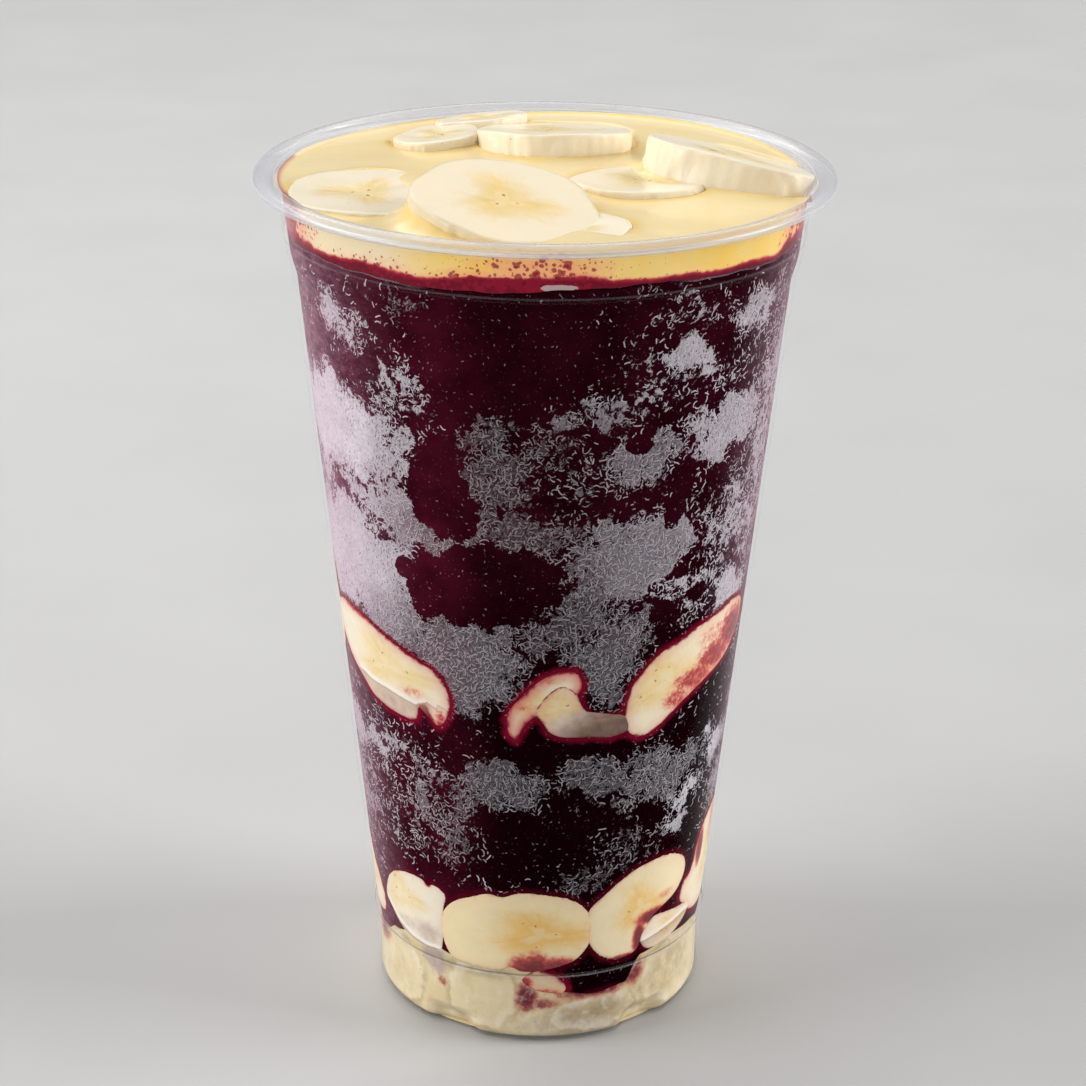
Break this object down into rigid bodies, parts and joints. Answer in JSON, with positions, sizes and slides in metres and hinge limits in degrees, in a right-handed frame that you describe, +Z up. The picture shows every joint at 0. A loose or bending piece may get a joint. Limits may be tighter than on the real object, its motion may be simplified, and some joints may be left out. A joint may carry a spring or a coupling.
{
  "type": "acai cup",
  "caption": "Tall tapered clear plastic cup filled to the brim with frozen acai pulp, layered with banana slices at the foot, middle and top, under condensed milk.",
  "frame": {"origin": "on the surface the cup stands on, under the middle of its base", "axes": "+Z up along the cup's axis to its mouth; -Y is the front, +X to its right"},
  "size_m": [0.098, 0.0979, 0.1569],
  "materials": {
    "cup": "clear thin plastic, glossy, slightly milky at the rolled rim",
    "cream": "wet glossy condensed milk, pale yellow, stained red where it meets the pulp",
    "acai": "dark wine purple frozen pulp with pale lilac frost against the wall",
    "milk": "condensed milk that has run between the slices, pale and glossy",
    "banana": "moist banana flesh, pale yellow with a darker centre, fine fibres and tiny seeds"
  },
  "bodies": {
    "root": {"cup": "cup", "cream": "cream", "acai": "acai", "milk_base": "milk", "top_slice_1": "banana", "top_slice_2": "banana", "top_slice_3": "banana", "top_slice_4": "banana", "top_slice_5": "banana", "top_slice_6": "banana", "top_slice_7": "banana", "top_slice_8": "banana", "middle_slice_1": "banana", "middle_slice_2": "banana", "middle_slice_3": "banana", "middle_slice_4": "banana", "middle_slice_5": "banana", "middle_slice_6": "banana", "middle_slice_7": "banana", "middle_slice_8": "banana", "middle_slice_9": "banana", "lower_slice_1": "banana", "lower_slice_2": "banana", "lower_slice_3": "banana", "lower_slice_4": "banana", "lower_slice_5": "banana", "lower_slice_6": "banana", "lower_slice_7": "banana", "lower_slice_8": "banana", "lower_slice_9": "banana", "foot_slice_1": "banana", "foot_slice_2": "banana", "foot_slice_3": "banana", "foot_slice_4": "banana", "foot_slice_5": "banana", "foot_slice_6": "banana", "foot_slice_7": "banana", "foot_slice_8": "banana", "foot_slice_9": "banana", "foot_slice_10": "banana"}
  },
  "joints": []
}
